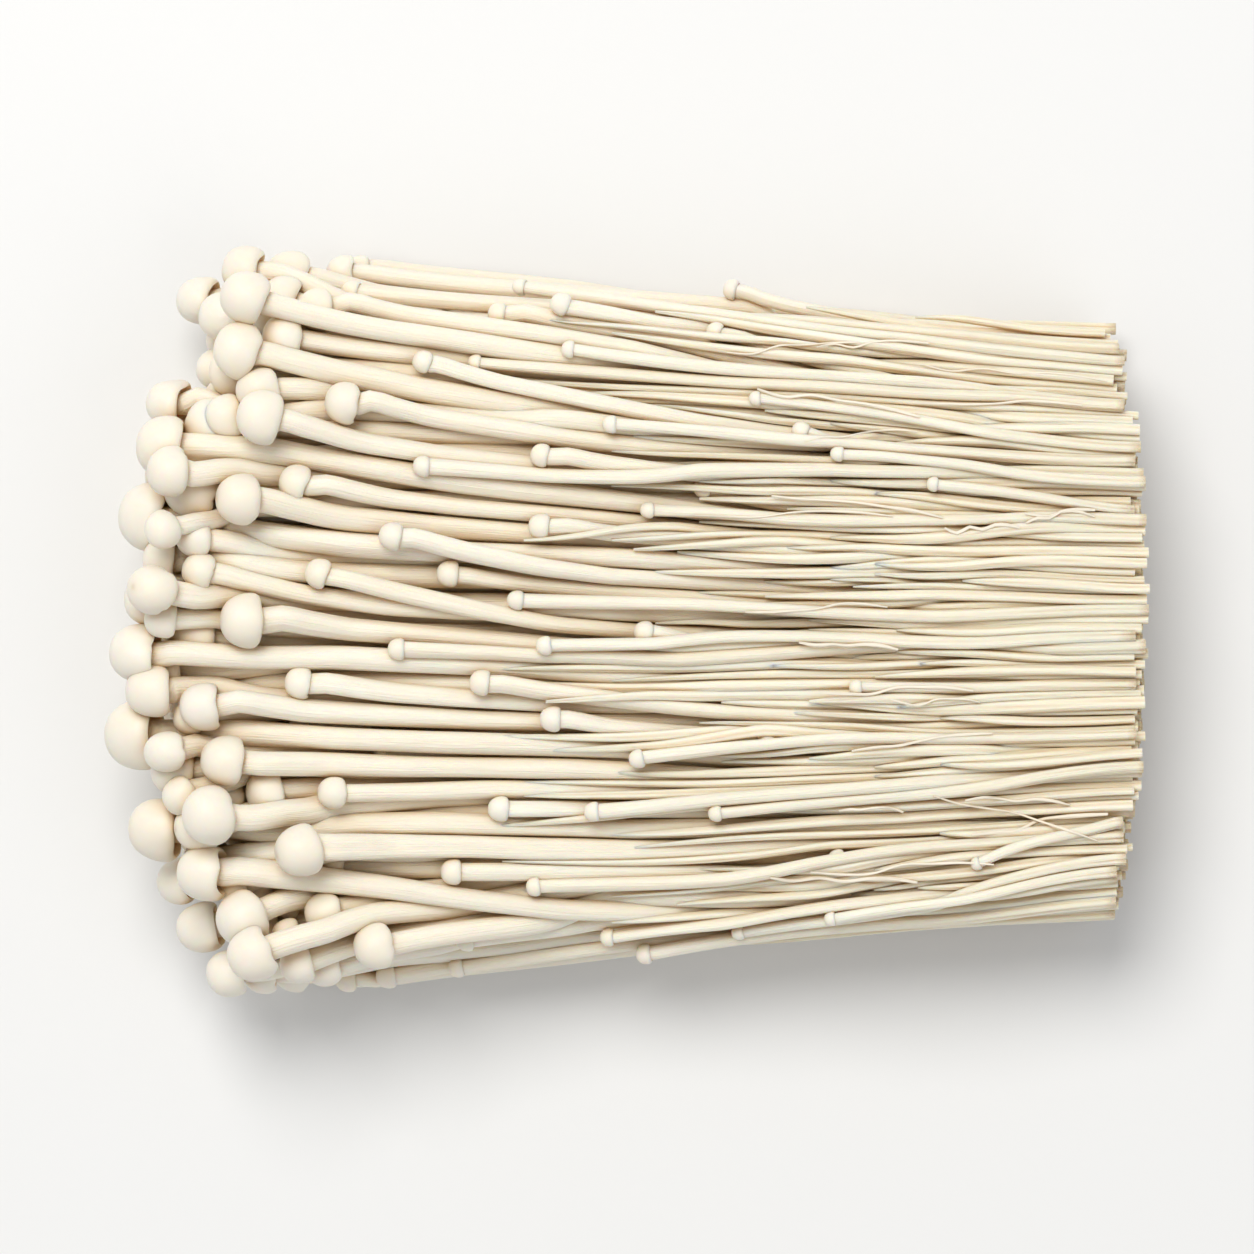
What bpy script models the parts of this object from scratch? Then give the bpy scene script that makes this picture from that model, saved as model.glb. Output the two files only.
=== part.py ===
"""A bunch of enoki mushrooms, trimmed at the root and lying on its side.

+X points to the cut ends, -X to the caps, +Z up. The bunch rests on Z = 0.
Eleven clumps, each of many stems grown together, lie in two rows. Single
mushrooms, stem and cap in one piece, lie over and beside them.
Lengths are in millimetres until an object is made, and MM turns them to metres.
"""

import math

import bmesh
import bpy
import numpy as np
from mathutils import Vector

MM = 0.001

# Driving dimensions
CUT_X = 69.5  # the furthest cut end
FRONT_X = -70.5  # the furthest cap
CUT_HALF_WIDTH = 40.0  # of the bunch at its cut end
CUT_STEP = 4.5  # how far the outer clumps' cut ends stand back
CAP_SETBACK = 21.0  # how far the outer caps stand back from the middle ones
HEAD_HALF_WIDTH = 50.0
SHIFT_X, SHIFT_Y = 0.9, 0.0  # these centre the finished bunch on the origin

# Stems and caps
ROOT_RADIUS = 0.55
STEM_RADIUS_OF_SMALLEST = 0.84
STEM_RADIUS_PER_CAP = 0.105
GAP = 0.42  # between neighbouring solids
STEM_POINTS = 10
# A cap from its neck to its top: (distance, radius), both in cap radii
CAP_PROFILE = ((0.05, 0.80), (0.35, 1.0), (0.85, 0.95), (1.25, 0.68), (1.48, 0.28))
STATIONS = 71
SEED = 11
# Settling: how far a stem sinks and is drawn back to its start in each round, in the
# first rounds only, and how much its bends are evened out, in the first and the last ones
SETTLE_ROUNDS = 900
SINKING_ROUNDS = 630
SINK = 0.09
DRAW_BACK = 0.01
FIRST_EVENING, LAST_EVENING = 0.5, 0.3

# Clumps: the two rows, from -Y to +Y, by the Y of the walls between them at the cut end
LOWER_WALLS = (-38.0, -23.5, -8.5, 7.5, 23.0, 38.0)
UPPER_WALLS = (-35.5, -24.0, -12.5, -0.5, 10.5, 22.5, 35.5)
LOWER_TOP, UPPER_TOP = 12.0, 23.0
HEAD_SPREAD = 1.13  # sideways growth of a clump towards its caps
HEAD_RISE = 1.10  # upwards growth
CLUMP_NECK_X = -41.0  # where a middle clump's stems part and its caps begin
CAP_REACH = 12.0  # how far a clump's caps stand out in front of its neck
SECTION_POINTS = 20
SECTION_POWER = 3.4  # between an ellipse, 2, and a box
FLUTE = 0.8  # depth of the grooves between a clump's stems
FLOOR_GAP = 0.45  # under the single mushrooms
SIDE_ROOM = 0.6  # how far the outer caps may pass the head's half width

# Single mushrooms: where each cap lies, and its diameter, from +Y to -Y.
# (cap x, cap y, cap diameter)
MUSHROOMS = (
    (-47.0, 47.5, 5.2), (-37.5, 48.0, 3.4), (-23.5, 44.5, 3.0), (-7.5, 42.5, 2.8),
    (-47.0, 42.5, 6.9), (-59.0, 40.0, 7.0), (14.0, 38.5, 2.5), (-42.5, 37.5, 6.1),
    (-18.0, 36.5, 2.9), (-53.0, 33.5, 7.0), (-62.5, 31.5, 7.6), (-28.0, 31.5, 3.1),
    (11.5, 33.5, 2.6), (-38.5, 27.5, 6.1), (-63.0, 23.0, 8.6), (-49.5, 24.5, 7.2),
    (-12.0, 22.5, 3.1), (23.0, 25.0, 2.5), (-45.0, 18.5, 5.2), (-52.5, 14.0, 6.9),
    (-65.5, 12.5, 9.0), (-12.0, 13.0, 3.3), (10.0, 17.0, 2.7), (-32.0, 12.0, 3.7),
    (-58.0, 6.0, 5.4), (-42.0, 5.5, 3.9), (-24.5, 7.5, 3.3), (-52.0, -0.5, 7.6),
    (36.0, 5.5, 2.4), (2.0, 1.0, 2.9), (-66.5, -5.0, 8.2), (-44.5, -6.5, 4.0),
    (-20.0, -9.0, 3.3), (-57.5, -9.5, 6.9), (-67.0, -16.5, 9.5), (-10.5, -12.5, 3.1),
    (-54.5, -18.0, 7.6), (18.5, -14.0, 2.6), (-40.0, -20.0, 4.0), (-64.0, -25.0, 8.6),
    (-44.5, -26.0, 7.1), (-17.5, -24.0, 3.2), (-57.5, -31.5, 7.9), (-24.0, -30.5, 3.4),
    (28.0, -27.5, 2.6), (-50.5, -39.0, 7.6), (-26.5, -38.5, 3.4), (-45.5, -47.0, 7.2),
)

CREAM = (0.90, 0.85, 0.74, 1.0)
STEM_CREAM = (0.90, 0.83, 0.68, 1.0)


def cut_x(y):
    """Where the stems are cut: the middle of the bunch reaches furthest."""
    return CUT_X - CUT_STEP * abs(y / CUT_HALF_WIDTH) ** 3


def front_x(y):
    """How far forward the caps reach: a shallow arc."""
    return FRONT_X + CAP_SETBACK * abs(y / HEAD_HALF_WIDTH) ** 2.4


def placed(point):
    """The point in metres, with the bunch centred on the origin."""
    return (point + Vector((SHIFT_X, SHIFT_Y, 0))) * MM


def stem_radius(cap_d):
    return STEM_RADIUS_OF_SMALLEST + STEM_RADIUS_PER_CAP * cap_d


# ---------------------------------------------------------------- clumps


def clump_rows():
    """(name, low wall, high wall, bottom, top) of each clump at the cut end."""
    rows = []
    for row, walls, bottom, top in (
        ("lower", LOWER_WALLS, 0.0, LOWER_TOP),
        ("upper", UPPER_WALLS, LOWER_TOP, UPPER_TOP),
    ):
        for i, (low, high) in enumerate(zip(walls, walls[1:])):
            rows.append((f"{row}_clump_{i + 1}", low, high, bottom, top))
    return rows


def clump_section(clump, x):
    """Centre (y, z) and half sizes of a clump's section at x."""
    _, low, high, bottom, top = clump
    t = np.clip((CUT_X - x) / (CUT_X - CLUMP_NECK_X), 0.0, 1.0)
    spread = 1.0 + (HEAD_SPREAD - 1.0) * t
    rise = 1.0 + (HEAD_RISE - 1.0) * t
    outer = abs(low + high) / 2 / CUT_HALF_WIDTH
    droop = 2.6 * outer**3 if bottom > 0 else 0.0
    half_width = (high - low) / 2 * spread - GAP / 2
    half_height = ((top - bottom) * rise - GAP - droop) / 2
    middle_z = bottom * rise + half_height + (GAP if bottom > 0 else 0.0)
    return (low + high) / 2 * spread, middle_z, half_width, half_height


# ---------------------------------------------------------------- laying out


class Stems:
    """Curved stems, each given by its (y, z) at the stations X, with its cap in its radius."""

    def __init__(self, caps, base_y):
        self.x = np.linspace(CUT_X, FRONT_X - 2.0, STATIONS)
        caps = np.asarray(caps, float)
        self.cap_x, self.cap_y, self.cap_d = caps.T
        self.base_y = base_y
        self.base_x = np.array([cut_x(y) for y in base_y])
        self.active = (self.x[None] <= self.base_x[:, None] + 2.5) & (
            self.x[None] >= (self.cap_x - 0.5 * self.cap_d)[:, None] - 1.5
        )
        along = (self.base_x[:, None] - self.x) / (self.base_x - self.cap_x)[:, None]
        self.along = np.clip(along, 0.0, 1.15)
        to_cap = np.abs(self.x[None] - self.cap_x[:, None]) / self.cap_d[:, None]
        stem = ROOT_RADIUS + (stem_radius(self.cap_d)[:, None] - ROOT_RADIUS) * (
            np.clip(self.along, 0, 1) ** 0.8
        )
        bulge = self.cap_d[:, None] / 2 * np.sqrt(np.clip(1 - (1.55 * to_cap) ** 4, 0, 1))
        self.radius = np.maximum(stem, bulge)


def lay_stems(stems, rng):
    """First guess: each stem fans out from its root to its cap, with a slight wave."""
    n = len(stems.cap_x)
    phase = rng.uniform(0, 2 * math.pi, n)[:, None]
    waves = rng.uniform(1.0, 2.2, n)[:, None]
    swing = rng.uniform(0.2, 1.0, n)[:, None]
    fan = np.clip(stems.along, 0, 1.1) ** 1.25
    y = stems.base_y[:, None] + (stems.cap_y - stems.base_y)[:, None] * fan
    y = y + swing * np.sin(phase + waves * math.pi * stems.along) * stems.along * (
        1.1 - stems.along
    ) * 4
    top = UPPER_TOP * (1 + (HEAD_RISE - 1) * stems.along)
    z = top * (1 - np.abs(y / (HEAD_HALF_WIDTH + 3)) ** 5) + 2 + stems.radius
    return np.stack([y, z], axis=2)


def settle(stems, place, clumps):
    """Lets the stems settle under gravity on the clumps, the floor and each other."""
    n, count = place.shape[:2]
    start = place.copy()
    first, second = np.triu_indices(n, 1)
    both = stems.active[first] & stems.active[second]
    reach = stems.radius[first] + stems.radius[second] + GAP
    for step in range(SETTLE_ROUNDS):
        sinking = step <= SINKING_ROUNDS
        if sinking:
            place[..., 1] -= SINK
            place[..., 0] += DRAW_BACK * (start[..., 0] - place[..., 0])
        apart = place[first] - place[second]
        distance = np.linalg.norm(apart, axis=2) + 1e-9
        push = np.where(both, np.clip(reach - distance, 0, None), 0) * 0.5
        move = apart / distance[..., None] * push[..., None]
        shift = np.zeros_like(place)
        hits = np.zeros((n, count))
        np.add.at(shift, first, move)
        np.add.at(shift, second, -move)
        np.add.at(hits, first, push > 0)
        np.add.at(hits, second, push > 0)
        place += shift / np.clip(hits, 1, None)[..., None] * 1.2
        keep_off_clumps(stems, place, clumps)
        place[..., 1] = np.maximum(place[..., 1], stems.radius + FLOOR_GAP)
        side = HEAD_HALF_WIDTH + SIDE_ROOM - stems.radius
        place[..., 0] = np.clip(place[..., 0], -side, side)
        smooth(stems, place, start, FIRST_EVENING if sinking else LAST_EVENING)
    keep_off_clumps(stems, place, clumps)
    return place


def keep_off_clumps(stems, place, clumps):
    for clump in clumps:
        y, z, half_y, half_z = clump_section(clump, stems.x)
        end = stems.x > clump_tip_x(clump) - CAP_REACH - 3.0
        off_y = place[..., 0] - y
        off_z = place[..., 1] - z
        room = stems.radius + GAP
        inside = (
            np.abs(off_y / (half_y + room)) ** SECTION_POWER
            + np.abs(off_z / (half_z + room)) ** SECTION_POWER
        ) ** (1 / SECTION_POWER)
        hit = (inside < 1) & end & stems.active
        grow = np.where(hit, 1 / np.maximum(inside, 0.2), 1.0)
        upward = off_z > 0
        place[..., 0] += off_y * (grow - 1) * 0.6
        place[..., 1] += np.where(upward, off_z * (grow - 1), 0.0)
        place[..., 1] += np.where(hit & ~upward, 0.2, 0.0)


def smooth(stems, place, start, strength):
    """Evens out how far each stem has moved along its length, which keeps its own wave."""
    moved = place - start
    before, after = np.roll(moved, 1, axis=1), np.roll(moved, -1, axis=1)
    use_before = np.roll(stems.active, 1, axis=1)
    use_before[:, 0] = False
    use_after = np.roll(stems.active, -1, axis=1)
    use_after[:, -1] = False
    weight = (use_before * 1.0 + use_after)[..., None]
    mean = (before * use_before[..., None] + after * use_after[..., None]) / np.maximum(
        weight, 1
    )
    place += np.where(weight > 0, strength * (mean - moved), 0)


def root_slots(caps, rng):
    """The Y of each stem's root: in the order of the caps, evenly along the cut."""
    order = np.argsort(np.argsort([y for _, y, _ in caps]))
    slot = (order + 0.5) / len(caps) * 2 - 1
    return slot * CUT_HALF_WIDTH + rng.uniform(-0.8, 0.8, len(caps))


# ---------------------------------------------------------------- solids


def material(name, colour, roughness):
    made = bpy.data.materials.new(name)
    made.use_nodes = True
    shader = made.node_tree.nodes["Principled BSDF"]
    shader.inputs["Base Color"].default_value = colour
    shader.inputs["Roughness"].default_value = roughness
    return made


def mushroom_line(stems, place, i):
    """Points and radii from the root to the top of the cap."""
    cap_x, cap_r = stems.cap_x[i], stems.cap_d[i] / 2
    neck_x = cap_x + 0.68 * cap_r
    order = np.argsort(stems.x)

    def at(x):
        y, z = (np.interp(x, stems.x[order], place[i, order, axis]) for axis in (0, 1))
        return Vector((x, y, z))

    xs = stems.base_x[i] + (neck_x - stems.base_x[i]) * np.linspace(0, 1, STEM_POINTS) ** 0.8
    points = [at(x) for x in xs]
    reach = np.clip((stems.base_x[i] - xs) / (stems.base_x[i] - cap_x), 0, 1) ** 0.8
    radii = list(ROOT_RADIUS + (stem_radius(stems.cap_d[i]) - ROOT_RADIUS) * reach)
    for forward, share in CAP_PROFILE:
        points.append(at(neck_x - forward * cap_r))
        radii.append(share * cap_r)
    return points, radii


def swept(name, points, radii, sides, finish, collection):
    """A round solid along points, as thick at each as radii says."""
    curve = bpy.data.curves.new(name, "CURVE")
    curve.dimensions = "3D"
    curve.bevel_depth = MM
    curve.bevel_resolution = (sides - 4) // 2
    curve.use_fill_caps = True
    spline = curve.splines.new("POLY")
    spline.points.add(len(points) - 1)
    for spot, point, radius in zip(spline.points, points, radii):
        spot.co = (*placed(point), 1)
        spot.radius = radius
    curve.materials.append(finish)
    obj = bpy.data.objects.new(name, curve)
    collection.objects.link(obj)
    return obj


def as_mesh(obj):
    """The same object as a mesh with welded ends, for a Boolean."""
    graph = bpy.context.evaluated_depsgraph_get()
    mesh = bpy.data.meshes.new_from_object(obj.evaluated_get(graph))
    made = bpy.data.objects.new(obj.name + "_mesh", mesh)
    made.matrix_world = obj.matrix_world
    for collection in obj.users_collection:
        collection.objects.link(made)
    bpy.data.objects.remove(obj)
    work = bmesh.new()
    work.from_mesh(mesh)
    bmesh.ops.remove_doubles(work, verts=work.verts, dist=1e-6)
    bmesh.ops.recalc_face_normals(work, faces=work.faces)
    work.to_mesh(mesh)
    work.free()
    return made


def clump_tip_x(clump):
    _, low, high, bottom, _ = clump
    back = 0.0 if bottom == 0 else 3.0
    return CLUMP_NECK_X + back + 0.75 * (front_x((low + high) / 2 * HEAD_SPREAD) - FRONT_X)


def clump_outline(clump, x, scale):
    """A fluted, rounded box section: each ridge is a stem in the clump's skin."""
    y, z, half_y, half_z = clump_section(clump, x)
    flat_foot = clump[3] == 0
    ring = []
    for i in range(SECTION_POINTS):
        a = 2 * math.pi * i / SECTION_POINTS
        c, s = math.cos(a), math.sin(a)
        r = (abs(c) ** SECTION_POWER + abs(s) ** SECTION_POWER) ** (-1 / SECTION_POWER)
        groove = FLUTE * (i % 2)
        point_y = y + c * (r * half_y - groove) * scale
        point_z = z + s * (r * half_z - groove) * scale
        if flat_foot and s < -0.75:
            point_z = 0.0 if scale > 0.9 else max(point_z, 0.6)
        ring.append(Vector((x, point_y, point_z)))
    return ring


def clump_body(clump, finish, collection):
    """The stems of a clump, grown together, as one loft from the cut to the neck."""
    name, low, high, _, _ = clump
    tip = clump_tip_x(clump)
    stations = list(np.linspace(cut_x((low + high) / 2), tip, 5))
    rings = [clump_outline(clump, x, 1.0) for x in stations]
    rings.append(clump_outline(clump, tip - 2.5, 0.8))
    work = bmesh.new()
    rows = [[work.verts.new(placed(point)) for point in ring] for ring in rings]
    for row, following in zip(rows, rows[1:]):
        for i in range(SECTION_POINTS):
            j = (i + 1) % SECTION_POINTS
            work.faces.new((row[i], row[j], following[j], following[i]))
    work.faces.new(rows[0])
    work.faces.new(rows[-1])
    bmesh.ops.recalc_face_normals(work, faces=work.faces)
    mesh = bpy.data.meshes.new(name)
    work.to_mesh(mesh)
    work.free()
    mesh.materials.append(finish)
    obj = bpy.data.objects.new(name, mesh)
    collection.objects.link(obj)
    return obj


def clump_caps(clump, rng):
    """(y, z, front x, diameter) of the caps that a clump ends in."""
    tip = clump_tip_x(clump)
    y, z, half_y, half_z = clump_section(clump, tip)
    wide = 3 if half_y > 7 else 2
    diameter = 2 * min(half_y / wide, half_z / 2) - 0.1
    caps = []
    for row in (-1, 1):
        for column in range(wide):
            across = (column - (wide - 1) / 2) * 2 / wide
            reach = rng.uniform(0.6, 1.0) * CAP_REACH
            caps.append((y + across * half_y, z + row * half_z * 0.5, tip - reach, diameter))
    return caps


def join_caps(clump, body, rng, finish, helpers):
    """Joins a clump's caps, each on the free end of its stem, to the clump."""
    tip = clump_tip_x(clump)
    for i, (y, z, front, diameter) in enumerate(clump_caps(clump, rng)):
        cap_r = diameter / 2
        neck_r = stem_radius(diameter)
        neck_x = front + CAP_PROFILE[-1][0] * cap_r
        line = [(tip + 4.0, neck_r), (neck_x, neck_r)]
        line += [(neck_x - forward * cap_r, share * cap_r) for forward, share in CAP_PROFILE]
        points = [Vector((x, y, z)) for x, _ in line]
        radii = [r for _, r in line]
        cap = as_mesh(swept(f"{clump[0]}_cap_{i}", points, radii, 6, finish, helpers))
        cap.hide_render = True
        cap.display_type = "WIRE"
        union = body.modifiers.new(f"cap_{i}", "BOOLEAN")
        union.operation = "UNION"
        union.object = cap


def clear_scene():
    for obj in list(bpy.data.objects):
        bpy.data.objects.remove(obj)


def main():
    clear_scene()
    bunch = bpy.data.collections.new("enoki_bunch")
    helpers = bpy.data.collections.new("joined_caps")
    for collection in (bunch, helpers):
        bpy.context.scene.collection.children.link(collection)
    cap_finish = material("mushroom", CREAM, 0.5)
    clump_finish = material("fused_stems", STEM_CREAM, 0.6)

    rng = np.random.default_rng(SEED)
    clumps = clump_rows()
    stems = Stems(MUSHROOMS, root_slots(MUSHROOMS, rng))
    place = settle(stems, lay_stems(stems, rng), clumps)
    for i in range(len(MUSHROOMS)):
        points, radii = mushroom_line(stems, place, i)
        swept(f"mushroom_{i + 1:02d}", points, radii, 6, cap_finish, bunch)
    for clump in clumps:
        body = clump_body(clump, clump_finish, bunch)
        join_caps(clump, body, rng, clump_finish, helpers)
    bpy.context.view_layer.update()


main()
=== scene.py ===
"""The looks of the enoki mushroom bunch: every mushroom modelled one by one around the CAD frame.

The single mushrooms of the frame are rebuilt finely along their own lines. Each clump of the
frame is replaced by the stems that it stands for, settled under and between the single ones.
Lengths are in millimetres until a mesh is made, and MM turns them to metres.
"""

import math

import bpy
import numpy as np
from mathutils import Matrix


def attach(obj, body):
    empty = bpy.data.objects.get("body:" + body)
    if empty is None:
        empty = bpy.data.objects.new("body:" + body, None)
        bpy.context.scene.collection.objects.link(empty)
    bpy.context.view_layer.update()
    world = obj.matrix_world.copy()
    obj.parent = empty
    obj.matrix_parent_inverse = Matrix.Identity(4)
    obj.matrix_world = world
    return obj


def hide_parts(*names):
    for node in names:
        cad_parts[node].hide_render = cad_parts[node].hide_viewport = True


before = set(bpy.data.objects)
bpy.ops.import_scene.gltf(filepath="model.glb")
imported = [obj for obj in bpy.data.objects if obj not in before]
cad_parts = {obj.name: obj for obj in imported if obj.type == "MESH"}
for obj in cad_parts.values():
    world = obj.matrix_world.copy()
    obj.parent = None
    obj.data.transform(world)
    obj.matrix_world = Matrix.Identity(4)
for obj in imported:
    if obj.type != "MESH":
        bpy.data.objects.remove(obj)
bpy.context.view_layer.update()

MM = 0.001
SEED = 23
SHIFT_X = 0.9  # from the drawing's X to the frame's, which is centred on the origin

# The bunch, as in the CAD
CUT_X = 70.4
FRONT_X = -69.6
CUT_HALF_WIDTH = 40.0
CUT_STEP = 4.5
CAP_SETBACK = 21.0
HEAD_HALF_WIDTH = 50.0
LOWER_WALLS = (-38.0, -23.5, -8.5, 7.5, 23.0, 38.0)
UPPER_WALLS = (-35.5, -24.0, -12.5, -0.5, 10.5, 22.5, 35.5)
LOWER_TOP, UPPER_TOP = 12.0, 23.0
HEAD_SPREAD = 1.13
FANNING = 1.08  # how much more the stems of the looks spread than the clumps of the CAD
HEAD_RISE = 1.10
HEAD_X = -41.0
ROOT_LID, HEAD_LID = 28.5, 35.5  # no stem settles higher than this

# Stems
STEM_RADIUS_OF_SMALLEST = 0.74
STEM_RADIUS_PER_CAP = 0.132
NECK_SHARE = 0.72  # at most this much of a cap's radius
ROOT_RADIUS = 0.74
FUSED_ROOT_RADIUS = 1.24  # of the stems inside the clumps
SMALL_CAP = 4.2  # below this a cap is still a closed button
STRANDS = 105  # thin stems with no cap of their own, among the roots
STRAND_CAP = 1.45  # marks a strand, and is its width
STATIONS = 50
SETTLE_ROUNDS = 240
FILL_WIDTH, FILL_LEVELS = 2.5, 5  # a clump's stems: their spacing across, and their levels
LONG_SHARE = 0.54  # of a clump's mushrooms that reach the head
SMALL_CAP_GROWTH = 1.12  # small caps are a little larger than in the CAD
SECOND_HEIGHT, TOP_HEIGHT, STRAND_HEIGHT = 19.5, 27.0, 28.0  # where they start to sink
EDGE_FALL = 54.0  # half width at which the top of the bunch would come down to the floor
LOOSE_FIBRES = 22
PAIRS_AT_ONCE = 8000

# Caps of the second layer, seen between the single mushrooms: (x, y, diameter)
SECOND_CAPS = (
    (-53.0, 42.5, 6.8), (-49.6, 36.4, 6.2), (-55.5, 36.5, 7.0), (-57.0, 28.0, 7.6),
    (-59.3, 19.0, 8.4), (-61.6, 13.0, 6.8), (-63.0, 7.5, 7.5), (-52.3, 5.5, 7.0),
    (-65.3, 1.2, 7.0), (-59.0, -1.5, 8.0), (-53.0, -5.0, 5.8), (-49.6, -10.0, 5.7),
    (-59.8, -13.4, 4.9), (-44.5, -11.5, 3.8), (-45.5, -15.5, 5.5), (-49.4, -22.0, 6.2),
    (-55.0, -24.5, 6.8), (-62.0, -33.0, 6.5), (-49.0, -32.5, 5.5), (-58.6, -40.6, 7.4),
    (-55.0, -44.5, 6.5), (-50.5, -45.5, 6.1), (-41.7, -43.5, 5.8), (-39.0, -47.5, 3.9),
    (-33.4, -46.7, 3.4),
)
# Small caps that lie on top: (x, y, diameter)
TOP_CAPS = (
    (-38.0, 45.0, 3.2), (-15.0, 45.0, 2.5), (-21.0, 35.7, 2.4), (-8.3, 37.5, 2.3),
    (-2.6, 26.3, 2.4), (28.0, 23.3, 2.2), (40.8, 19.5, 2.0), (-15.3, 1.4, 2.7),
    (-11.5, -2.6, 2.6), (-31.3, -4.0, 2.9), (2.4, 14.8, 2.4), (30.5, -8.4, 2.1),
    (1.0, -18.3, 2.6), (-5.0, -25.6, 2.6), (11.6, -24.2, 2.3), (46.7, -33.0, 1.9),
    (-13.0, -36.6, 2.6), (-3.0, -42.0, 2.5), (2.0, -44.5, 2.8), (-23.7, -46.5, 2.8),
    (14.8, -41.0, 2.2), (27.2, -38.5, 2.0), (17.0, 30.0, 2.1), (-28.0, 22.0, 2.9),
)


# ---------------------------------------------------------------- the layout


def cut_x(y):
    """Where the bowed cut end lies."""
    return CUT_X - CUT_STEP * abs(y / CUT_HALF_WIDTH) ** 3


def front_x(y):
    """Where the furthest caps lie, which is further back towards the sides."""
    return FRONT_X + CAP_SETBACK * abs(y / HEAD_HALF_WIDTH) ** 2.4


def stem_radius(cap_d):
    return min(STEM_RADIUS_OF_SMALLEST + STEM_RADIUS_PER_CAP * cap_d, NECK_SHARE * cap_d / 2)


def clump_rows():
    rows = []
    for row, walls, bottom, top in (
        ("lower", LOWER_WALLS, 0.0, LOWER_TOP),
        ("upper", UPPER_WALLS, LOWER_TOP, UPPER_TOP),
    ):
        for i, (low, high) in enumerate(zip(walls, walls[1:])):
            rows.append((f"{row}_clump_{i + 1}", low, high, bottom, top))
    return rows


def upper_clump_at(y):
    names = [name for name, _, high, bottom, _ in clump_rows() if bottom > 0 and y < high]
    return names[0] if names else f"upper_clump_{len(UPPER_WALLS) - 1}"


def single_mushrooms():
    """Centre line and radii of each single mushroom of the frame, from its rings of vertices."""
    found = {}
    for name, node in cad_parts.items():
        if not name.startswith("mushroom_"):
            continue
        points = {tuple(round(c * 1e6) for c in v.co) for v in node.data.vertices}
        points = np.array(sorted(points, reverse=True)) / 1e3
        rings = points.reshape(-1, 6, 3)
        centres = rings.mean(axis=1)
        radii = np.linalg.norm(rings - centres[:, None], axis=2).mean(axis=1)
        cap_r = radii[-4:].max()
        found[name] = {"line": centres, "cap_d": 2 * cap_r, "cap_x": centres[-1, 0] + 0.8 * cap_r}
    return found


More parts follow.
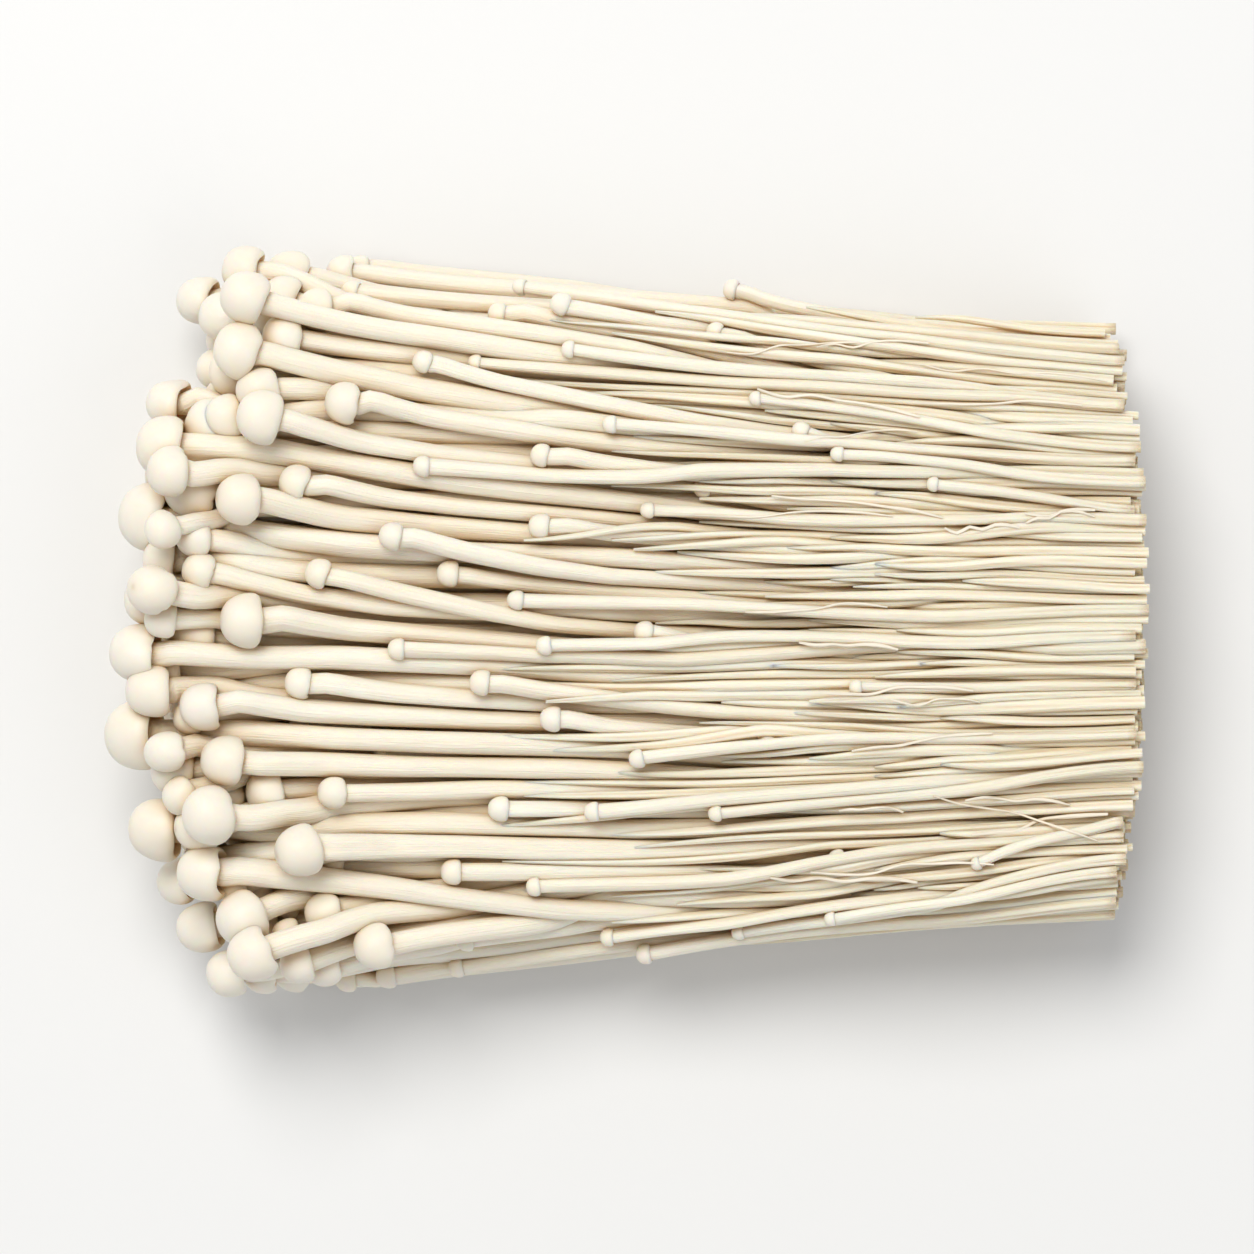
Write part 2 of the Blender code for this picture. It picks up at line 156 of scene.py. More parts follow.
class Layout:
    """Stems as (y, z) at stations along X: the frame's own, which stay, and those to settle."""

    def __init__(self, singles, rng):
        self.x = np.linspace(CUT_X + 2.0, FRONT_X - 3.0, STATIONS)
        self.rows = []
        for name, single in sorted(singles.items()):
            line = single["line"][::-1]
            y = np.interp(self.x, line[:, 0], line[:, 1])
            z = np.interp(self.x, line[:, 0], line[:, 2])
            cap_d = single["cap_d"] * (SMALL_CAP_GROWTH if single["cap_d"] < SMALL_CAP else 1.0)
            self.add(name, single["cap_x"], cap_d, single["line"][0, 0], y, z, "single")
        for clump in clump_rows():
            self.fill_clump(clump, rng)
        for caps, height in ((SECOND_CAPS, SECOND_HEIGHT), (TOP_CAPS, TOP_HEIGHT)):
            for cap in caps:
                self.add_loose(cap, height, rng)
        for _ in range(STRANDS):
            self.add_strand(rng)
        self.fixed = np.array([row["kind"] == "single" for row in self.rows])
        self.sinks = np.array([row["kind"] in ("loose", "strand") for row in self.rows])
        self.cap_x = np.array([row["cap_x"] for row in self.rows])
        self.cap_d = np.array([row["cap_d"] for row in self.rows])
        self.root_x = np.array([row["root_x"] for row in self.rows])
        self.place = np.array([np.stack([row["y"], row["z"]], axis=1) for row in self.rows])
        self.radius = np.array([self.radius_at(row) for row in self.rows])
        self.active = (self.x[None] <= self.root_x[:, None] + 3) & (
            self.x[None] >= (self.cap_x - 0.5 * self.cap_d)[:, None] - 3
        )

    def add(self, owner, cap_x, cap_d, root_x, y, z, kind):
        root_r = FUSED_ROOT_RADIUS if kind == "fused" else ROOT_RADIUS
        self.rows.append(
            dict(owner=owner, cap_x=cap_x, cap_d=cap_d, root_x=root_x, root_r=root_r,
                 y=y, z=z, kind=kind)
        )

    def radius_at(self, row):
        """The mushroom's radius at each station: its stem, and its cap where that is wider."""
        along = (row["root_x"] - self.x) / (row["root_x"] - row["cap_x"])
        if row["kind"] == "strand":
            return np.full(STATIONS, STRAND_CAP / 2)
        root_r = row["root_r"]
        stem = root_r + (stem_radius(row["cap_d"]) - root_r) * np.clip(along, 0, 1)
        to_cap = np.abs(self.x - row["cap_x"]) / row["cap_d"]
        bulge = row["cap_d"] / 2 * np.sqrt(np.clip(1 - (1.5 * to_cap) ** 4, 0, 1))
        return np.maximum(stem, bulge)

    def fan(self, root_x, cap_x):
        """How far each station is from the cut to the head, and from the stem's root to its cap."""
        along = np.clip((root_x - self.x) / (CUT_X - HEAD_X), 0, 1.3)
        return along, np.clip((root_x - self.x) / (root_x - cap_x), 0, 1.1)

    def fill_clump(self, clump, rng):
        """Stems side by side in rows that fill the clump's section."""
        _, low, high, _, _ = clump
        columns = round((high - low) / FILL_WIDTH)
        for level in range(FILL_LEVELS):
            for column in range(columns):
                across = (column + 0.5 + 0.25 * (-1) ** level) / columns * 2 - 1
                upward = (level + 0.5) / FILL_LEVELS * 2 - 1
                across += rng.uniform(-0.8, 0.8) / columns
                upward += rng.uniform(-0.8, 0.8) / FILL_LEVELS
                self.add_fill(clump, 0.95 * across, upward, rng)

    def add_fill(self, clump, across, upward, rng):
        name, low, high, bottom, top = clump
        y_root = (low + high) / 2 + across * (high - low) / 2
        z_root = (bottom + top) / 2 + upward * (top - bottom) / 2
        back = abs(rng.normal(0, 1)) * 9.0
        long_one = rng.random() < LONG_SHARE
        cap_y = y_root * HEAD_SPREAD * FANNING
        cap_x = front_x(cap_y) + 5.0 + back if long_one else rng.uniform(-50, 15)
        cap_d = rng.uniform(4.8, 8.2) - 0.07 * back if long_one else rng.uniform(2.2, 3.6)
        root_x = cut_x(y_root) + rng.uniform(-1.2, 0.4)
        along, own = self.fan(root_x, cap_x)
        wave = rng.uniform(0.3, 1.1) * np.sin(rng.uniform(0, 6.3) + rng.uniform(2, 6) * own)
        lift = rng.uniform(0.2, 0.7) * np.sin(rng.uniform(0, 6.3) + rng.uniform(2, 6) * own)
        y = y_root * (1 + (HEAD_SPREAD * FANNING - 1) * along) + wave * own
        z = z_root * (1 + (HEAD_RISE - 1) * along) + lift * own
        self.add(name, cap_x, cap_d, root_x, y, np.maximum(z, 1.2), "fused")

    def add_loose(self, cap, height, rng):
        cap_x, cap_y, cap_d = cap
        cap_x = cap_x + SHIFT_X
        y_root = cap_y * CUT_HALF_WIDTH / HEAD_HALF_WIDTH
        y_root += rng.uniform(-1.5, 1.5)
        root_x = cut_x(y_root) + rng.uniform(-1.5, 0.6)
        _, own = self.fan(root_x, cap_x)
        wave = rng.uniform(0.3, 1.0) * np.sin(rng.uniform(0, 6.3) + rng.uniform(2, 6) * own)
        y = y_root + (cap_y - y_root) * own**1.3 + wave * own * (1.1 - own) * 3
        z = height * (1 + 0.1 * own) * (1 - np.abs(y / EDGE_FALL) ** 5) + 2.0
        self.add(upper_clump_at(y_root), cap_x, cap_d, root_x, y, z, "loose")

    def add_strand(self, rng):
        y_root = rng.uniform(-1, 1) * (CUT_HALF_WIDTH - 0.8)
        root_x = cut_x(y_root) + rng.uniform(-1.6, 0.8)
        tip_x = root_x - rng.uniform(22, 85)
        along, own = self.fan(root_x, tip_x)
        wave = rng.uniform(0.3, 1.4) * np.sin(rng.uniform(0, 6.3) + rng.uniform(2, 5) * own)
        y = y_root * (1 + (HEAD_SPREAD * FANNING - 1) * along) + wave * own
        z = STRAND_HEIGHT * (1 + 0.05 * own) * (1 - np.abs(y / EDGE_FALL) ** 5)
        self.add(upper_clump_at(y_root), tip_x, STRAND_CAP, root_x, y, z, "strand")

    def settle(self, rounds):
        """Pushes overlapping stems apart and lets them sink, with the frame's own held still."""
        start = self.place.copy()
        free = (~self.fixed)[:, None]
        shared = self.place
        for step in range(rounds):
            if step % 20 == 0:
                first, second = self.near_pairs()
                both = self.active[first] & self.active[second]
                reach = (self.radius[first] + self.radius[second]) * 0.95
                mobile_a = (~self.fixed[first])[:, None] * 1.0
                mobile_b = (~self.fixed[second])[:, None] * 1.0
                total = np.maximum(mobile_a + mobile_b, 1)
            late = step > rounds * 0.75
            if not late:
                shared[..., 1] -= np.where(self.sinks[:, None], 0.06, 0)
                shared += np.where(free[..., None], 0.015 * (start - shared), 0)
            apart = shared[first] - shared[second]
            distance = np.linalg.norm(apart, axis=2) + 1e-9
            push = np.where(both, np.clip(reach - distance, 0, None), 0) / distance
            shift = np.zeros_like(shared)
            hits = np.zeros(shared.shape[:2])
            np.add.at(shift, first, apart * (push * mobile_a / total)[..., None])
            np.add.at(shift, second, -apart * (push * mobile_b / total)[..., None])
            np.add.at(hits, first, push > 0)
            np.add.at(hits, second, push > 0)
            shared += shift / np.maximum(hits * 0.6, 1)[..., None]
            self.hold_inside(shared, free)
            self.smooth(shared, start, free, 0.25 if late else 0.5)

    def hold_inside(self, place, free):
        low = self.radius * 0.97 + 0.1
        place[..., 1] = np.where(free & (place[..., 1] < low), low, place[..., 1])
        toward_head = np.clip((CUT_X - self.x) / (CUT_X - FRONT_X), 0, 1)
        high = ROOT_LID + (HEAD_LID - ROOT_LID) * toward_head - self.radius
        place[..., 1] = np.where(free & (place[..., 1] > high), high, place[..., 1])
        side = HEAD_HALF_WIDTH + 0.8 - self.radius
        place[..., 0] = np.where(free, np.clip(place[..., 0], -side, side), place[..., 0])

    def near_pairs(self):
        first, second = np.triu_indices(len(self.rows), 1)
        keep = ~(self.fixed[first] & self.fixed[second])
        first, second = first[keep], second[keep]
        near = []
        for low in range(0, len(first), PAIRS_AT_ONCE):
            a, b = first[low : low + PAIRS_AT_ONCE], second[low : low + PAIRS_AT_ONCE]
            distance = np.abs(self.place[a] - self.place[b]).max(axis=2)
            touching = distance < self.radius[a] + self.radius[b] + 1.2
            near.append((touching & self.active[a] & self.active[b]).any(axis=1))
        near = np.concatenate(near)
        return first[near], second[near]

    def smooth(self, place, start, free, strength):
        """Evens out each stem's displacement along its length, which keeps its own wave."""
        moved = place - start
        before, after = np.roll(moved, 1, axis=1), np.roll(moved, -1, axis=1)
        use_before = np.roll(self.active, 1, axis=1)
        use_before[:, 0] = False
        use_after = np.roll(self.active, -1, axis=1)
        use_after[:, -1] = False
        weight = (use_before * 1.0 + use_after)[..., None]
        mean = before * use_before[..., None] + after * use_after[..., None]
        mean = mean / np.maximum(weight, 1)
        place += np.where((weight > 0) & free[..., None], strength * (mean - moved), 0)

    def line(self, i):
        """The settled centre line of stem i, from its root to a little past its cap."""
        root_x = self.rows[i]["root_x"]
        keep = self.active[i] & (self.x < root_x - 0.5)
        x = np.concatenate([[root_x], self.x[keep]])
        y, z = (np.interp(x, self.x[::-1], self.place[i, ::-1, axis]) for axis in (0, 1))
        return np.stack([x, y, z], axis=1)


# ---------------------------------------------------------------- meshes


class Surface:
    """Rings of vertices gathered into one mesh, with what the materials need to know."""

    CHANNELS = ("cap", "along", "apex", "tone", "cut", "under", "groove")
    FLOOR = 0.05

    def __init__(self):
        self.points, self.faces, self.uvs = [], [], []
        self.channels = {name: [] for name in self.CHANNELS}
        self.count = 0

    def add_rings(self, rings, uv, channels):
        """rings is (rows, sides, 3). Both ends are closed with a fan around their middle."""
        rows, sides, _ = rings.shape
        rings[..., 2] = np.maximum(rings[..., 2], self.FLOOR)
        ends = np.stack([rings[0].mean(axis=0), rings[-1].mean(axis=0)])
        self.points.append(np.concatenate([rings.reshape(-1, 3), ends]))
        index = np.arange(rows * sides).reshape(rows, sides) + self.count
        right = np.roll(index, -1, axis=1)
        quads = np.stack([index[:-1], right[:-1], right[1:], index[1:]], axis=-1).reshape(-1, 4)
        start, end = self.count + rows * sides, self.count + rows * sides + 1
        fan_a = np.stack([np.full(sides, start), right[0], index[0]], axis=-1)
        fan_b = np.stack([np.full(sides, end), index[-1], right[-1]], axis=-1)
        self.faces.append((quads, np.concatenate([fan_a, fan_b])))
        uv_ends = np.stack([uv[0].mean(axis=0), uv[-1].mean(axis=0)])
        self.uvs.append(np.concatenate([uv.reshape(-1, 2), uv_ends]))
        for name in self.CHANNELS:
            value = np.broadcast_to(channels.get(name, 0.0), (rows, sides))
            edge = [value[0].mean(), value[-1].mean()]
            if name == "cut":
                edge[0] = 1.0
            self.channels[name].append(np.concatenate([value.reshape(-1), edge]))
        self.count += rows * sides + 2

    def build(self, name, materials):
        points = np.concatenate(self.points) * MM
        quads = np.concatenate([q for q, _ in self.faces])
        tris = np.concatenate([t for _, t in self.faces])
        mesh = bpy.data.meshes.new(name)
        mesh.vertices.add(len(points))
        mesh.vertices.foreach_set("co", points.astype(np.float32).ravel())
        loops = np.concatenate([quads.ravel(), tris.ravel()])
        sizes = np.concatenate([np.full(len(quads), 4), np.full(len(tris), 3)])
        starts = np.concatenate([[0], np.cumsum(sizes)[:-1]])
        mesh.loops.add(len(loops))
        mesh.loops.foreach_set("vertex_index", loops.astype(np.int32))
        mesh.polygons.add(len(sizes))
        mesh.polygons.foreach_set("loop_start", starts.astype(np.int32))
        layer = mesh.uv_layers.new(name="Around")
        uv = np.concatenate(self.uvs)[loops]
        layer.data.foreach_set("uv", uv.astype(np.float32).ravel())
        for channel, values in self.channels.items():
            attribute = mesh.attributes.new(channel, "FLOAT", "POINT")
            attribute.data.foreach_set("value", np.concatenate(values).astype(np.float32))
        mesh.update(calc_edges=True)
        mesh.validate()
        mesh.shade_smooth()
        mesh.set_sharp_from_angle(angle=math.radians(75))
        for finish in materials:
            mesh.materials.append(finish)
        piece = bpy.data.objects.new(name, mesh)
        bpy.context.scene.collection.objects.link(piece)
        return piece


def smooth_line(points, step):
    """The line resampled every step, rounded by cubic pieces through its points."""
    before, after = 2 * points[0] - points[1], 2 * points[-1] - points[-2]
    p = np.concatenate([[before], points, [after]])
    out = []
    for i in range(1, len(p) - 2):
        length = np.linalg.norm(p[i + 1] - p[i])
        count = max(1, round(length / step))
        t = (np.arange(count) / count)[:, None]
        a, b, c, d = p[i - 1], p[i], p[i + 1], p[i + 2]
        out.append(
            0.5 * (2 * b + (c - a) * t + (2 * a - 5 * b + 4 * c - d) * t**2
                   + (3 * b - a - 3 * c + d) * t**3)
        )
    out.append(points[-1:])
    return np.concatenate(out)


def frames_along(line):
    tangent = np.gradient(line, axis=0)
    tangent /= np.linalg.norm(tangent, axis=1)[:, None]
    side = np.cross(np.array([0.0, 0.0, 1.0]), tangent)
    side /= np.linalg.norm(side, axis=1)[:, None]
    return tangent, side, np.cross(tangent, side)


def harmonics(theta, orders, sizes, rng):
    """Random waves around a ring, of the given orders and sizes."""
    total = np.zeros_like(theta)
    for order, size in zip(orders, sizes):
        total = total + size * rng.normal(0, 1) * np.cos(order * theta + rng.uniform(0, 6.283))
    return total


def cap_profile(stem_share, young, steps):
    """(forward, radius, apex) in cap radii: up the stem, under the cap, over its edge and dome."""
    tuck = math.radians(62)
    depth = (0.20, 0.19, 0.12, 0.05) if young else (0.36, 0.33, 0.20, 0.07)
    gap = max(0.72, stem_share + 0.06) - stem_share
    out = [stem_share + gap * share for share in (0.0, 0.45, 0.8, 1.0)]
    inside = np.stack([depth, out, np.zeros(4)], axis=1)
    phi = np.linspace(-tuck, math.radians(88), steps)
    below = 0.46 + 0.46 * np.sin(phi) / math.sin(tuck)
    forward = np.where(phi < 0, below, 0.46 + 1.08 * np.sin(phi))
    radius = np.where(phi < 0, 1 - 0.20 * (phi / -tuck) ** 2.4, np.cos(phi) ** 0.84)
    dome = np.stack([forward, radius, np.clip(np.sin(phi), 0, 1)], axis=1)
    return np.concatenate([inside, dome])


def add_mushroom(surface, line, cap_x, cap_d, rng, fine, root_r):
    """One mushroom, stem and cap in one skin, along the line from root to cap."""
    cap_r = cap_d / 2
    young = cap_d < SMALL_CAP
    sides = int((24 if young else 28) * fine)
    dense = smooth_line(line, 1.4 / fine)
    neck_x = cap_x + 0.62 * cap_r
    stem = dense[dense[:, 0] > neck_x + 0.3]
    neck = np.array([np.interp(neck_x, dense[::-1, 0], dense[::-1, k]) for k in range(3)])
    stem = np.concatenate([stem, [neck]])
    tangent, side, up = frames_along(stem)
    distance = np.concatenate([[0], np.cumsum(np.linalg.norm(np.diff(stem, axis=0), axis=1))])
    along = distance / distance[-1]
    top_r = stem_radius(cap_d)

    theta = np.linspace(0, 2 * math.pi, sides, endpoint=False)[None] - math.pi / 2
    at_root = np.clip(1 - along / 0.5, 0, 1)[:, None]
    girth = root_r + (top_r - root_r) * along
    girth = girth * (1 + 0.05 * np.sin(distance / rng.uniform(5, 9) + rng.uniform(0, 6.3)))
    twist = 0.5 * np.sin(along * rng.uniform(1, 4) + rng.uniform(0, 6.3))[:, None]
    ridges = harmonics(theta + twist, (2, 3, 4), (0.05, 0.022, 0.012), rng)
    strands = np.abs(np.sin((theta + twist) * rng.integers(3, 5) / 2 + rng.uniform(0, 6.3)))
    groove = (1 - strands) ** 3 * (0.12 + 0.88 * at_root)
    shape = 1 + ridges - 0.50 * groove
    flat = 1 - 0.2 * at_root * rng.random()
    radius = girth[:, None] * shape
    cos, sin = np.cos(theta), np.sin(theta)
    rings = (
        stem[:, None]
        + side[:, None] * (radius * cos * (2 - flat))[..., None]
        + up[:, None] * (radius * sin * flat)[..., None]
    )

    tilt = rng.normal(0, 0.07 if young else 0.10, 2)
    axis = tangent[-7:-1].mean(axis=0) + side[-1] * tilt[0] + up[-1] * tilt[1]
    axis /= np.linalg.norm(axis)
    side_c = side[-1] - axis * side[-1].dot(axis)
    side_c /= np.linalg.norm(side_c)
    up_c = np.cross(axis, side_c)
    profile = cap_profile(top_r / cap_r * 0.97, young, int((12 if young else 18) * fine))
    forward, share, apex = (profile[:, k][:, None] for k in range(3))
    edge = np.clip(1.1 - forward, 0, 1) * (share > 0.6)
    lobes = harmonics(theta, (2, 3, 4, 5, 7), (0.034, 0.028, 0.020, 0.012, 0.008), rng)
    hem = harmonics(theta, (2, 3, 5), (0.045, 0.035, 0.02), rng)
    for _ in range(0 if young else int(rng.integers(0, 3))):
        fold = np.exp(-(((theta - rng.uniform(-1.5, 4.7)) / rng.uniform(0.10, 0.2)) ** 2))
        lobes = lobes - rng.uniform(0.02, 0.07) * fold
        hem = hem + rng.uniform(0.02, 0.08) * fold
    swell = 1 + lobes * edge * (0.5 if young else 1.0)
    oval = 1 + rng.normal(0, 0.03)
    stretch = rng.uniform(0.94, 1.04)
    reach = cap_r * (forward * stretch + hem * edge * (0.3 if young else 0.8))
    cap_radius = cap_r * share * np.where(apex + edge > 0, swell, 1)
    cap_rings = (
        neck
        + axis * reach[..., None]
        + side_c * (cap_radius * cos * oval)[..., None]
        + up_c * (cap_radius * sin / oval)[..., None]
    )

    rows_c = len(profile)
    v_cap = distance[-1] + np.cumsum(np.concatenate([[0.3], np.hypot(
        np.diff(profile[:, 0]), np.diff(profile[:, 1])) * cap_r]))
    u = theta + math.pi / 2
    u_stem = np.broadcast_to(u * top_r, (len(stem), sides))
    u_cap = np.broadcast_to(u * cap_r * 0.8, (rows_c, sides))
    uv_stem = np.stack([u_stem, np.broadcast_to(distance[:, None], u_stem.shape)], axis=-1)
    uv_cap = np.stack([u_cap, np.broadcast_to(v_cap[:, None], u_cap.shape)], axis=-1)
    uv = np.concatenate([uv_stem, uv_cap]) + rng.uniform(0, 200, 2)
    stem_zero = np.zeros((len(stem), 1))
    cap_part = (np.arange(rows_c) >= 3)[:, None] * 1.0
    # The cap's underside, which the material darkens to ochre as painted shade
    under = np.array([1.0, 1.0, 1.0, 0.6] + [0.0] * (rows_c - 4))[:, None]
    tone = rng.random()
    channels = {
        "cap": np.concatenate([stem_zero, cap_part]),
        "along": np.concatenate([along[:, None], np.ones((rows_c, 1))]),
        "apex": np.concatenate([stem_zero, apex]),
        "tone": np.array([[tone]]),
        "cut": np.concatenate([np.exp(-distance / 0.35)[:, None], np.zeros((rows_c, 1))]),
        "under": np.concatenate([stem_zero, under]),
        "groove": np.concatenate([groove, np.zeros((rows_c, sides))]),
    }
    surface.add_rings(np.concatenate([rings, cap_rings]), uv, channels)


def add_thin_stem(surface, line, rng):
    """A thin stem among the roots, which narrows to nothing where it dips between the others."""
    line = smooth_line(line, 1.6)
    _, side, up = frames_along(line)
    sides = 14
    theta = np.linspace(0, 2 * math.pi, sides, endpoint=False)[None] - math.pi / 2
    t = np.linspace(0, 1, len(line))[:, None]
    line = line - np.array([0, 0, 1.0]) * 0.9 * np.clip((t - 0.8) / 0.2, 0, 1) ** 2
    r = STRAND_CAP / 2 * rng.uniform(0.75, 1.25) * np.sqrt(np.clip((1.02 - t) / 0.35, 0, 1))
    groove = (1 - np.abs(np.sin(theta * 1.5 + t * rng.uniform(-3, 3)))) ** 3
    r = r * (1 - 0.35 * groove)
    rings = (
        line[:, None]
        + side[:, None] * (r * np.cos(theta))[..., None]
        + up[:, None] * (r * np.sin(theta))[..., None]
    )
    length = np.cumsum(np.full((len(line), 1), 1.6), axis=0)
    uv = np.stack(np.broadcast_arrays(theta * 0.5, length), axis=-1) + rng.uniform(0, 90, 2)
    channels = {
        "tone": np.array([[rng.random()]]),
        "along": t * 0.45,
        "groove": np.broadcast_to(groove, r.shape),
        "cut": np.exp(-length / 0.35),
    }
    surface.add_rings(rings, uv, channels)


def add_fibre(surface, points, radius, rng):
    """A torn strand that lies loose on the stems."""
    line = smooth_line(np.array(points, float), 0.8)
    _, side, up = frames_along(line)
    sides = 8
    theta = np.linspace(0, 2 * math.pi, sides, endpoint=False)[None]
    t = np.linspace(0, 1, len(line))[:, None]
    r = radius * (0.35 + 0.65 * np.sin(math.pi * np.clip(t * 0.9 + 0.08, 0, 1)) ** 0.5)
    r = r * (1 + 0.15 * np.sin(theta * 2 + t * 9))
    rings = (
        line[:, None]
        + side[:, None] * (r * np.cos(theta) * 1.3)[..., None]
        + up[:, None] * (r * np.sin(theta) * 0.8)[..., None]
    )
    uv = np.stack(np.broadcast_arrays(theta * radius, t * 30), axis=-1) + rng.uniform(0, 90, 2)
    surface.add_rings(rings, uv, {"tone": np.array([[0.7]]), "along": np.array([[0.4]])})


# ---------------------------------------------------------------- materials


def attribute(tree, name):
    made = tree.nodes.new("ShaderNodeAttribute")
    made.attribute_name = name
    return made.outputs["Fac"]


def mix_colour(tree, factor, first, second):
    made = tree.nodes.new("ShaderNodeMix")
    made.data_type = "RGBA"
    sockets = made.inputs[0], made.inputs[6], made.inputs[7]
    for socket, value in zip(sockets, (factor, first, second)):
        if isinstance(value, (float, int, tuple)):
            socket.default_value = value
        else:
            tree.links.new(value, socket)
    return made.outputs[2]


def maths(tree, operation, first, second=0.0, clamp=False):
    made = tree.nodes.new("ShaderNodeMath")
    made.operation = operation
    made.use_clamp = clamp
    for socket, value in ((made.inputs[0], first), (made.inputs[1], second)):
        if isinstance(value, (float, int)):
            socket.default_value = value
        else:
            tree.links.new(value, socket)
    return made.outputs[0]


def mapped_noise(tree, source, scale, detail):
    mapping = tree.nodes.new("ShaderNodeMapping")
    mapping.inputs["Scale"].default_value = scale
    tree.links.new(source, mapping.inputs["Vector"])
    noise = tree.nodes.new("ShaderNodeTexNoise")
    noise.inputs["Scale"].default_value = 1.0
    noise.inputs["Detail"].default_value = detail
    noise.inputs["Roughness"].default_value = 0.55
    tree.links.new(mapping.outputs[0], noise.inputs["Vector"])
    return noise.outputs["Fac"]


def mushroom_skin(name, subsurface):
    """Cream stem and ivory cap, finely fibrous, with painted ochre shade in its hollows, in its
    grooves and under its caps, beige where it is cut.
    """
    made = bpy.data.materials.new(name)
    made.use_nodes = True
    tree = made.node_tree
    shader = tree.nodes["Principled BSDF"]
    around = tree.nodes.new("ShaderNodeUVMap")
    around.uv_map = "Around"
    place = tree.nodes.new("ShaderNodeTexCoord")
    cap, along, apex = (attribute(tree, n) for n in ("cap", "along", "apex"))
    tone, cut, under, groove = (attribute(tree, n) for n in ("tone", "cut", "under", "groove"))

    fibres = mapped_noise(tree, around.outputs[0], (5.0, 0.10, 1.0), 3.0)
    streaks = mapped_noise(tree, around.outputs[0], (1.6, 0.045, 1.0), 2.0)
    clouds = mapped_noise(tree, place.outputs["Object"], (300.0, 300.0, 300.0), 3.0)
    grain = mapped_noise(tree, place.outputs["Object"], (2600.0, 2600.0, 2600.0), 2.0)

    stem_near = mix_colour(tree, along, (0.93, 0.875, 0.745, 1), (0.94, 0.90, 0.80, 1))
    stem_dark = mix_colour(tree, along, (0.84, 0.74, 0.57, 1), (0.89, 0.82, 0.68, 1))
    stem = mix_colour(tree, maths(tree, "MULTIPLY", streaks, 0.55), stem_near, stem_dark)
    cap_light, cap_warm = (0.86, 0.825, 0.745, 1), (0.80, 0.735, 0.61, 1)
    cap_colour = mix_colour(tree, maths(tree, "MULTIPLY", clouds, 0.55), cap_light, cap_warm)
    colour = mix_colour(tree, cap, stem, cap_colour)
    # Painted shade: ochre under the caps, where the gills lie in shadow
    colour = mix_colour(tree, maths(tree, "MULTIPLY", under, 0.75), colour, (0.70, 0.53, 0.32, 1))
    spot = maths(tree, "POWER", apex, 90.0)
    spotted = maths(tree, "MULTIPLY", maths(tree, "GREATER_THAN", tone, 0.68), spot)
    colour = mix_colour(tree, maths(tree, "MULTIPLY", spotted, 0.40), colour, (0.56, 0.36, 0.17, 1))
    warm = maths(tree, "MULTIPLY", tone, 0.22)
    colour = mix_colour(tree, warm, colour, (0.86, 0.74, 0.53, 1))
    # Painted shade: ochre in the grooves between the strands of the stems
    colour = mix_colour(tree, maths(tree, "MULTIPLY", groove, 0.55), colour, (0.74, 0.56, 0.33, 1))
    # Painted shade: an ochre tint wherever ambient occlusion finds a hollow between the stems
    hollow = tree.nodes.new("ShaderNodeAmbientOcclusion")
    hollow.samples = 6
    hollow.inputs["Distance"].default_value = 0.004
    shade = maths(tree, "SUBTRACT", 1.0, hollow.outputs["AO"])
    shade = maths(tree, "MULTIPLY", maths(tree, "POWER", shade, 1.5), 0.8, clamp=True)
    colour = mix_colour(tree, shade, colour, (0.66, 0.43, 0.17, 1))
    cut_noise = mix_colour(tree, grain, (0.50, 0.39, 0.26, 1), (0.80, 0.70, 0.54, 1))
    colour = mix_colour(tree, cut, colour, cut_noise)
    tree.links.new(colour, shader.inputs["Base Color"])

    rough = maths(tree, "MULTIPLY_ADD", clouds, 0.22)
    rough.node.inputs[2].default_value = 0.36
    tree.links.new(rough, shader.inputs["Roughness"])
    shader.inputs["Subsurface Weight"].default_value = subsurface
    shader.inputs["Subsurface Radius"].default_value = (1.0, 0.62, 0.30)
    shader.inputs["Subsurface Scale"].default_value = 0.0014
    shader.inputs["Specular IOR Level"].default_value = 0.42
    shader.inputs["IOR"].default_value = 1.4

    stem_relief = maths(tree, "MULTIPLY", fibres, maths(tree, "SUBTRACT", 1.0, cap))
    relief = maths(tree, "ADD", stem_relief, maths(tree, "MULTIPLY", clouds, 0.25))
    cut_grain = maths(tree, "MULTIPLY", grain, cut)
    relief = maths(tree, "ADD", relief, maths(tree, "MULTIPLY", cut_grain, 1.5))
    bump = tree.nodes.new("ShaderNodeBump")
    bump.inputs["Strength"].default_value = 0.7
    bump.inputs["Distance"].default_value = 0.00038
    tree.links.new(relief, bump.inputs["Height"])
    tree.links.new(bump.outputs[0], shader.inputs["Normal"])
    return made


def floor_finish():
    made = bpy.data.materials.new("floor")
    made.use_nodes = True
    shader = made.node_tree.nodes["Principled BSDF"]
    shader.inputs["Base Color"].default_value = (0.80, 0.80, 0.79, 1)
    shader.inputs["Roughness"].default_value = 0.7
    return made


# ---------------------------------------------------------------- the scene


def add_floor():
    size = 1.5
    mesh = bpy.data.meshes.new("floor")
    corners = [(-size, -size, 0), (size, -size, 0), (size, size, 0), (-size, size, 0)]
    mesh.from_pydata(corners, [], [(0, 1, 2, 3)])
    mesh.materials.append(floor_finish())
    floor = bpy.data.objects.new("floor", mesh)
    floor.location.z = -0.0002
    bpy.context.scene.collection.objects.link(floor)


def add_light(name, place, size, power, colour=(1, 1, 1)):
    lamp = bpy.data.lights.new(name, "AREA")
    lamp.shape = "DISK"
    lamp.size = size
    lamp.energy = power
    lamp.color = colour
    obj = bpy.data.objects.new(name, lamp)
    obj.location = place
    direction = -obj.location.normalized()
    obj.rotation_euler = direction.to_track_quat("-Z", "Y").to_euler()
    bpy.context.scene.collection.objects.link(obj)


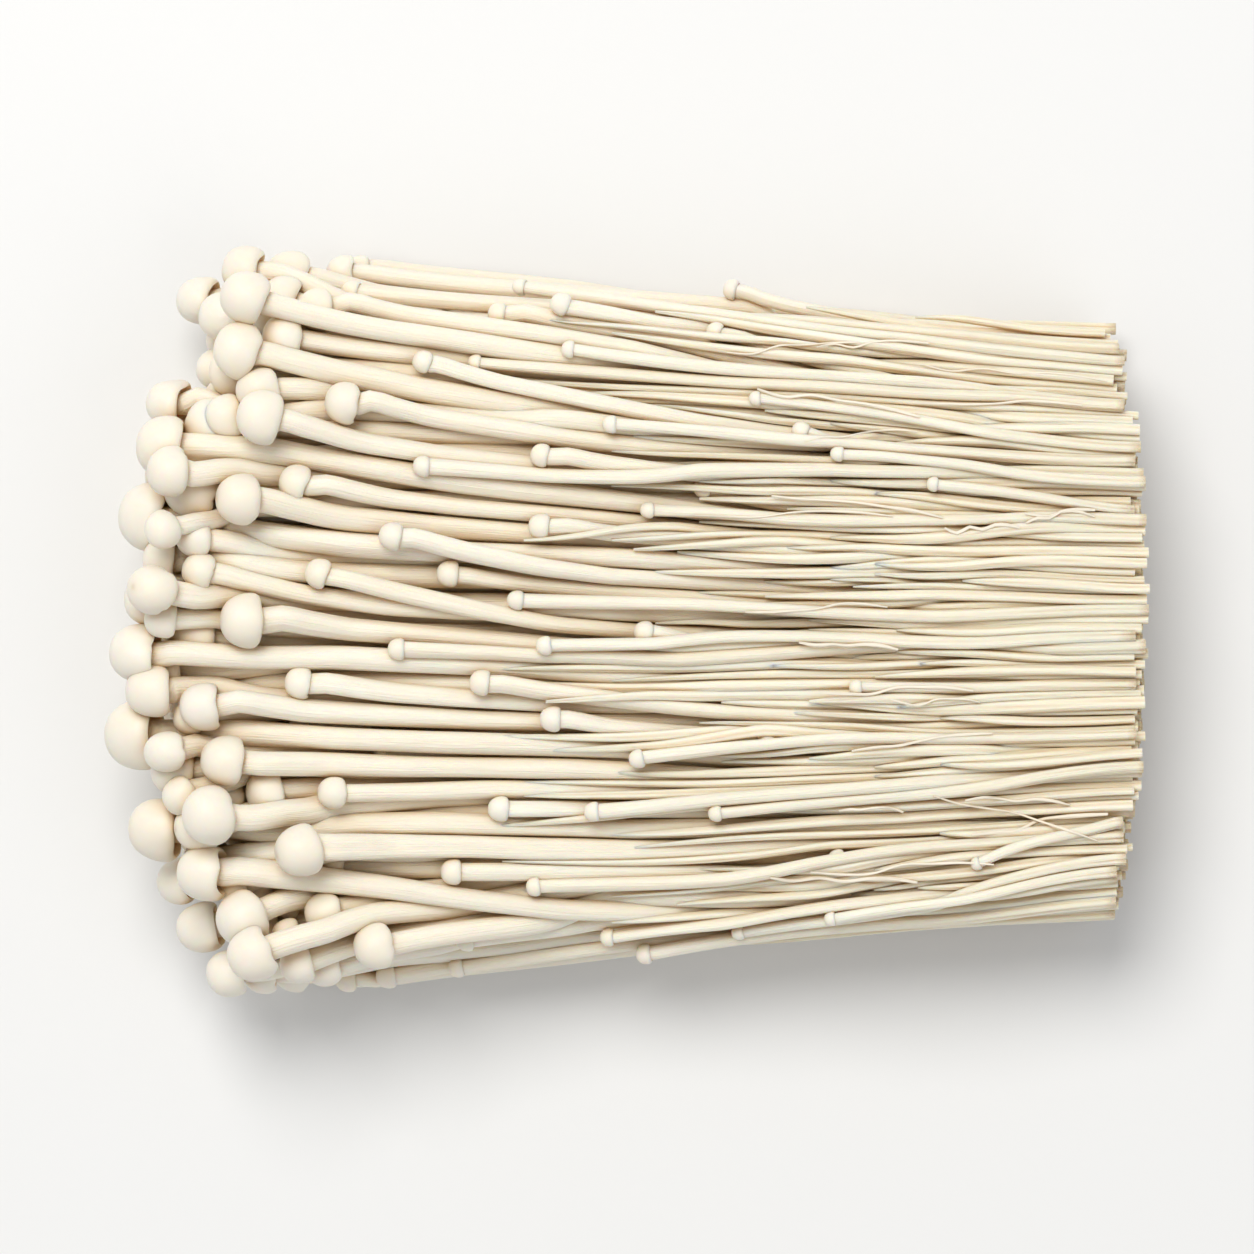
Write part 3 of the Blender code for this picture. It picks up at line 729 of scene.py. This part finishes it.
def add_camera_and_light():
    scene = bpy.context.scene
    view_width, distance, view_height = 0.1698, 0.9, 0.025
    lens = bpy.data.cameras.new("camera")
    lens.sensor_width = 36.0
    lens.lens = 36.0 * (distance - view_height) / view_width
    camera = bpy.data.objects.new("camera", lens)
    camera.location = (0.0005, -0.0007, distance)
    scene.collection.objects.link(camera)
    scene.camera = camera
    add_light("key", (-0.25, 0.55, 1.1), 0.7, 11.5, (1.0, 0.985, 0.96))
    add_light("fill", (0.5, -0.5, 0.9), 0.9, 1.6)
    world = bpy.data.worlds.new("studio")
    world.use_nodes = True
    world.node_tree.nodes["Background"].inputs[0].default_value = (0.97, 0.98, 1.0, 1)
    world.node_tree.nodes["Background"].inputs[1].default_value = 0.50
    scene.world = world
    scene.view_settings.view_transform = "Standard"


def add_loose_fibres(layout, surface, rng):
    """Torn strands over the cut half of the bunch."""
    top = np.where(layout.active, layout.place[..., 1] + layout.radius, 0)
    for _ in range(LOOSE_FIBRES):
        x_root = rng.uniform(35, 66)
        length = rng.uniform(8, 28)
        y = rng.uniform(-38, 38)
        drift = rng.normal(0, 0.12)
        points = []
        for t in np.linspace(0, 1, 7):
            x = x_root - length * t
            y_here = y + drift * length * t + 0.5 * math.sin(t * rng.uniform(3, 7))
            column = np.abs(layout.x - x).argmin()
            near = np.abs(layout.place[:, column, 0] - y_here) < 1.4
            z = top[near, column].max() if near.any() else 12.0
            points.append((x, y_here, z + 0.05))
        add_fibre(surface, points, rng.uniform(0.10, 0.22), rng)


def main():
    add_camera_and_light()
    add_floor()
    rng = np.random.default_rng(SEED)
    layout = Layout(single_mushrooms(), rng)
    layout.settle(SETTLE_ROUNDS)
    skin = mushroom_skin("mushroom_skin", 0.6)
    fibre_skin = mushroom_skin("fibre_skin", 0.0)
    surfaces = {}
    for i, row in enumerate(layout.rows):
        surface = surfaces.setdefault(row["owner"], Surface())
        fine = 1.0 if row["kind"] == "single" else 0.8
        own = np.random.default_rng(SEED * 1000 + i)
        if row["kind"] == "strand":
            add_thin_stem(surface, layout.line(i), own)
        else:
            line, cap_x, cap_d, root_r = layout.line(i), row["cap_x"], row["cap_d"], row["root_r"]
            add_mushroom(surface, line, cap_x, cap_d, own, fine, root_r)
    loose = Surface()
    add_loose_fibres(layout, loose, rng)
    fibres = loose.build("torn_fibres", [fibre_skin])
    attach(fibres, "root")
    for name, surface in surfaces.items():
        piece_name = name.replace("mushroom", "enoki").replace("clump", "stems")
        piece = surface.build(piece_name, [skin])
        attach(piece, "root")
        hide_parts(name)


main()
